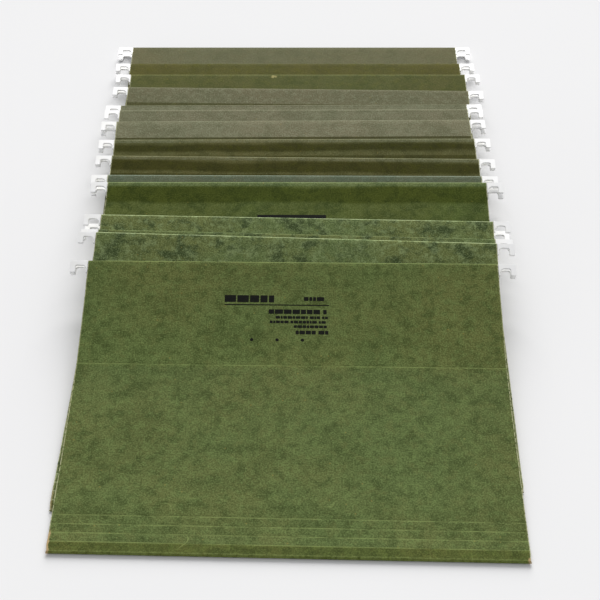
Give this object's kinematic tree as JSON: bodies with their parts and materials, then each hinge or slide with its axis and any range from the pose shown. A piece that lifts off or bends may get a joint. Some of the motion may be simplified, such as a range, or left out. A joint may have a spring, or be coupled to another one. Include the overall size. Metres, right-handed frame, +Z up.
{
  "type": "hanging file folder pile",
  "caption": "Fanned pile of letter-size hanging file folders: scored card covers with hooked rods in their top hems.",
  "frame": {"origin": "centre of the pile's footprint, on the table that it lies on", "axes": "+X across the folders to the viewer's right, +Y from the folds to the rods, +Z up"},
  "size_m": [0.3284, 0.5662, 0.0334],
  "materials": {
    "pressboard": "matte, marbled green fibre board with worn pale edges",
    "coated_steel": "satin white coating on flat steel"
  },
  "bodies": {
    "folder_01_back": {"back_cover_01": "pressboard", "back_rod_01": "coated_steel"},
    "folder_01_front": {"front_cover_01": "pressboard", "front_rod_01": "coated_steel"},
    "folder_02_back": {"back_cover_02": "pressboard", "back_rod_02": "coated_steel"},
    "folder_02_front": {"front_cover_02": "pressboard", "front_rod_02": "coated_steel"},
    "folder_03_back": {"back_cover_03": "pressboard", "back_rod_03": "coated_steel"},
    "folder_03_front": {"front_cover_03": "pressboard", "front_rod_03": "coated_steel"},
    "folder_04_back": {"back_cover_04": "pressboard", "back_rod_04": "coated_steel"},
    "folder_04_front": {"front_cover_04": "pressboard", "front_rod_04": "coated_steel"},
    "folder_05_back": {"back_cover_05": "pressboard", "back_rod_05": "coated_steel"},
    "folder_05_front": {"front_cover_05": "pressboard", "front_rod_05": "coated_steel"},
    "folder_06_back": {"back_cover_06": "pressboard", "back_rod_06": "coated_steel"},
    "folder_06_front": {"front_cover_06": "pressboard", "front_rod_06": "coated_steel"},
    "folder_07_back": {"back_cover_07": "pressboard", "back_rod_07": "coated_steel"},
    "folder_07_front": {"front_cover_07": "pressboard", "front_rod_07": "coated_steel"},
    "folder_08_back": {"back_cover_08": "pressboard", "back_rod_08": "coated_steel"},
    "folder_08_front": {"front_cover_08": "pressboard", "front_rod_08": "coated_steel"},
    "folder_09_back": {"back_cover_09": "pressboard", "back_rod_09": "coated_steel"},
    "folder_09_front": {"front_cover_09": "pressboard", "front_rod_09": "coated_steel"},
    "folder_10_back": {"back_cover_10": "pressboard", "back_rod_10": "coated_steel"},
    "folder_10_front": {"front_cover_10": "pressboard", "front_rod_10": "coated_steel"},
    "folder_11_back": {"back_cover_11": "pressboard", "back_rod_11": "coated_steel"},
    "folder_11_front": {"front_cover_11": "pressboard", "front_rod_11": "coated_steel"},
    "folder_12_back": {"back_cover_12": "pressboard", "back_rod_12": "coated_steel"},
    "folder_12_front": {"front_cover_12": "pressboard", "front_rod_12": "coated_steel"},
    "folder_13_back": {"back_cover_13": "pressboard", "back_rod_13": "coated_steel"},
    "folder_13_front": {"front_cover_13": "pressboard", "front_rod_13": "coated_steel"}
  },
  "joints": [
    {"name": "lift_12", "type": "slide", "parent": "folder_13_back", "child": "folder_12_back", "axis": [0, 0, 1], "range_m": [0, 0.26]},
    {"name": "lift_11", "type": "slide", "parent": "folder_12_back", "child": "folder_11_back", "axis": [0, 0, 1], "range_m": [0, 0.26]},
    {"name": "lift_10", "type": "slide", "parent": "folder_11_back", "child": "folder_10_back", "axis": [0, 0, 1], "range_m": [0, 0.26]},
    {"name": "lift_09", "type": "slide", "parent": "folder_10_back", "child": "folder_09_back", "axis": [0, 0, 1], "range_m": [0, 0.26]},
    {"name": "lift_08", "type": "slide", "parent": "folder_09_back", "child": "folder_08_back", "axis": [0, 0, 1], "range_m": [0, 0.26]},
    {"name": "lift_07", "type": "slide", "parent": "folder_08_back", "child": "folder_07_back", "axis": [0, 0, 1], "range_m": [0, 0.26]},
    {"name": "lift_06", "type": "slide", "parent": "folder_07_back", "child": "folder_06_back", "axis": [0, 0, 1], "range_m": [0, 0.26]},
    {"name": "lift_05", "type": "slide", "parent": "folder_06_back", "child": "folder_05_back", "axis": [0, 0, 1], "range_m": [0, 0.26]},
    {"name": "lift_04", "type": "slide", "parent": "folder_05_back", "child": "folder_04_back", "axis": [0, 0, 1], "range_m": [0, 0.26]},
    {"name": "lift_03", "type": "slide", "parent": "folder_04_back", "child": "folder_03_back", "axis": [0, 0, 1], "range_m": [0, 0.26]},
    {"name": "lift_02", "type": "slide", "parent": "folder_03_back", "child": "folder_02_back", "axis": [0, 0, 1], "range_m": [0, 0.26]},
    {"name": "lift_01", "type": "slide", "parent": "folder_02_back", "child": "folder_01_back", "axis": [0, 0, 1], "range_m": [0, 0.26]},
    {"name": "open_01", "type": "hinge", "parent": "folder_01_back", "child": "folder_01_front", "pos_m": [-0.00153, -0.27936, 0.00235], "axis": [0.9998, -0.0187, 0], "range_deg": [0, 165]},
    {"name": "open_02", "type": "hinge", "parent": "folder_02_back", "child": "folder_02_front", "pos_m": [-0.00413, -0.24836, 0.00135], "axis": [0.9997, -0.0244, 0], "range_deg": [0, 55]},
    {"name": "open_03", "type": "hinge", "parent": "folder_03_back", "child": "folder_03_front", "pos_m": [0.00057, -0.22726, 0.00135], "axis": [1, -0.0061, 0], "range_deg": [0, 55]},
    {"name": "open_04", "type": "hinge", "parent": "folder_04_back", "child": "folder_04_front", "pos_m": [-0.00033, -0.18126, 0.00135], "axis": [0.9999, -0.0105, 0], "range_deg": [0, 55]},
    {"name": "open_05", "type": "hinge", "parent": "folder_05_back", "child": "folder_05_front", "pos_m": [0.00047, -0.16716, 0.00135], "axis": [1, 0.0026, 0], "range_deg": [0, 55]},
    {"name": "open_06", "type": "hinge", "parent": "folder_06_back", "child": "folder_06_front", "pos_m": [-0.00133, -0.14136, 0.00135], "axis": [1, -0.007, 0], "range_deg": [0, 55]},
    {"name": "open_07", "type": "hinge", "parent": "folder_07_back", "child": "folder_07_front", "pos_m": [0.00277, -0.11556, 0.00135], "axis": [0.9999, 0.014, 0], "range_deg": [0, 55]},
    {"name": "open_08", "type": "hinge", "parent": "folder_08_back", "child": "folder_08_front", "pos_m": [0.00237, -0.08886, 0.00135], "axis": [0.9998, 0.0174, 0], "range_deg": [0, 55]},
    {"name": "open_09", "type": "hinge", "parent": "folder_09_back", "child": "folder_09_front", "pos_m": [0.00157, -0.06336, 0.00135], "axis": [0.9999, 0.014, 0], "range_deg": [0, 55]},
    {"name": "open_10", "type": "hinge", "parent": "folder_10_back", "child": "folder_10_front", "pos_m": [-0.00083, -0.03506, 0.00135], "axis": [0.9999, -0.0113, 0], "range_deg": [0, 55]},
    {"name": "open_11", "type": "hinge", "parent": "folder_11_back", "child": "folder_11_front", "pos_m": [0.00367, -0.00846, 0.00135], "axis": [1, 0.0087, 0], "range_deg": [0, 55]},
    {"name": "open_12", "type": "hinge", "parent": "folder_12_back", "child": "folder_12_front", "pos_m": [0.00087, 0.01304, 0.00135], "axis": [1, 0.0087, 0], "range_deg": [0, 55]},
    {"name": "open_13", "type": "hinge", "parent": "folder_13_back", "child": "folder_13_front", "pos_m": [-0.00013, 0.04274, 0.00135], "axis": [1, 0.0087, 0], "range_deg": [0, 55]}
  ],
  "couplings": [
    {"joint": "open_02", "follows": "lift_01", "rad_per_m": 3.692},
    {"joint": "open_03", "follows": "lift_02", "rad_per_m": 3.692},
    {"joint": "open_04", "follows": "lift_03", "rad_per_m": 3.692},
    {"joint": "open_05", "follows": "lift_04", "rad_per_m": 3.692},
    {"joint": "open_06", "follows": "lift_05", "rad_per_m": 3.692},
    {"joint": "open_07", "follows": "lift_06", "rad_per_m": 3.692},
    {"joint": "open_08", "follows": "lift_07", "rad_per_m": 3.692},
    {"joint": "open_09", "follows": "lift_08", "rad_per_m": 3.692},
    {"joint": "open_10", "follows": "lift_09", "rad_per_m": 3.692},
    {"joint": "open_11", "follows": "lift_10", "rad_per_m": 3.692},
    {"joint": "open_12", "follows": "lift_11", "rad_per_m": 3.692},
    {"joint": "open_13", "follows": "lift_12", "rad_per_m": 3.692}
  ]
}
